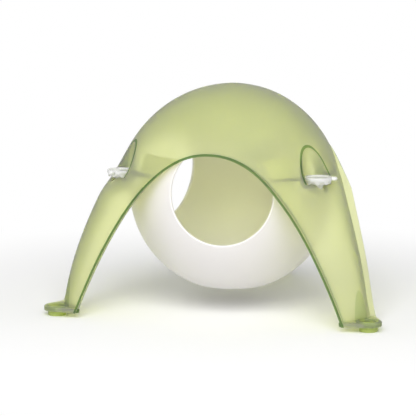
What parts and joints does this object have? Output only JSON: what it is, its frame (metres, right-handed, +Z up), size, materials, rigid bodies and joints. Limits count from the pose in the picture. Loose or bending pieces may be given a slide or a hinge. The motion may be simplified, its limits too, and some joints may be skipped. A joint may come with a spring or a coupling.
{
  "type": "hamster hideout",
  "caption": "Frosted green dome on three splayed legs with archways between them, a white ball-shaped pod with round doorways hung inside on clear twist locks, and soft foot pads.",
  "frame": {"origin": "on the floor, under the top of the dome, on the dome's own upright axis of threefold symmetry", "axes": "+Z up; -Y out of the front archway; +X to the right of it"},
  "size_m": [0.1882, 0.1671, 0.125],
  "materials": {
    "frosted_green": "translucent moss green polypropylene, finely frosted outside",
    "frosted_white": "milky white plastic with a satin surface",
    "clear_plastic": "clear glossy plastic",
    "lime_rubber": "soft yellow-green rubber"
  },
  "bodies": {
    "shell": {"dome": "frosted_green", "pod": "frosted_white", "foot_plug_front_right": "lime_rubber", "foot_plug_rear": "lime_rubber", "foot_plug_front_left": "lime_rubber"},
    "knob_front_right": {"lock_knob_front_right": "clear_plastic"},
    "knob_rear": {"lock_knob_rear": "clear_plastic"},
    "knob_front_left": {"lock_knob_front_left": "clear_plastic"}
  },
  "joints": [
    {"name": "lock_front_right", "type": "hinge", "parent": "shell", "child": "knob_front_right", "pos_m": [0.05534, -0.03195, 0.0757], "axis": [0, 0, 1], "range_deg": [-76, 0]},
    {"name": "lock_rear", "type": "hinge", "parent": "shell", "child": "knob_rear", "pos_m": [0, 0.0639, 0.0757], "axis": [0, 0, 1], "range_deg": [-76, 0]},
    {"name": "lock_front_left", "type": "hinge", "parent": "shell", "child": "knob_front_left", "pos_m": [-0.05534, -0.03195, 0.0757], "axis": [0, 0, 1], "range_deg": [-76, 0]}
  ]
}
